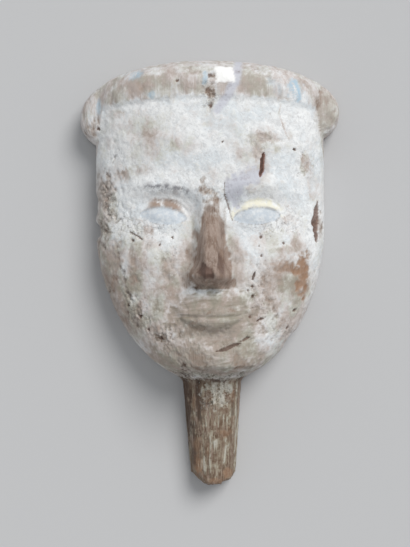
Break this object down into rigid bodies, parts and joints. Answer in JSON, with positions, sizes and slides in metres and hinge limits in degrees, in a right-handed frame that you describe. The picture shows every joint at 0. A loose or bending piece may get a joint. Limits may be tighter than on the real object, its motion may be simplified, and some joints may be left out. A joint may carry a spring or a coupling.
{
  "type": "wooden mummy mask",
  "caption": "Ancient Egyptian wooden mummy mask: a calm face under a wig band, with a straight beard, worn gesso and traces of paint, lying on its flat back.",
  "frame": {"origin": "centre of the outline's box, on the flat back that the mask lies on", "axes": "+X to the viewer's right, +Y from the beard's tip to the crown, +Z out of the back through the face"},
  "size_m": [0.184, 0.3, 0.0796],
  "materials": {
    "gessoed_wood": "bare aged brown wood under a worn, flaking coat of off-white gesso, matt"
  },
  "bodies": {
    "root": {"mask": "gessoed_wood"}
  },
  "joints": []
}
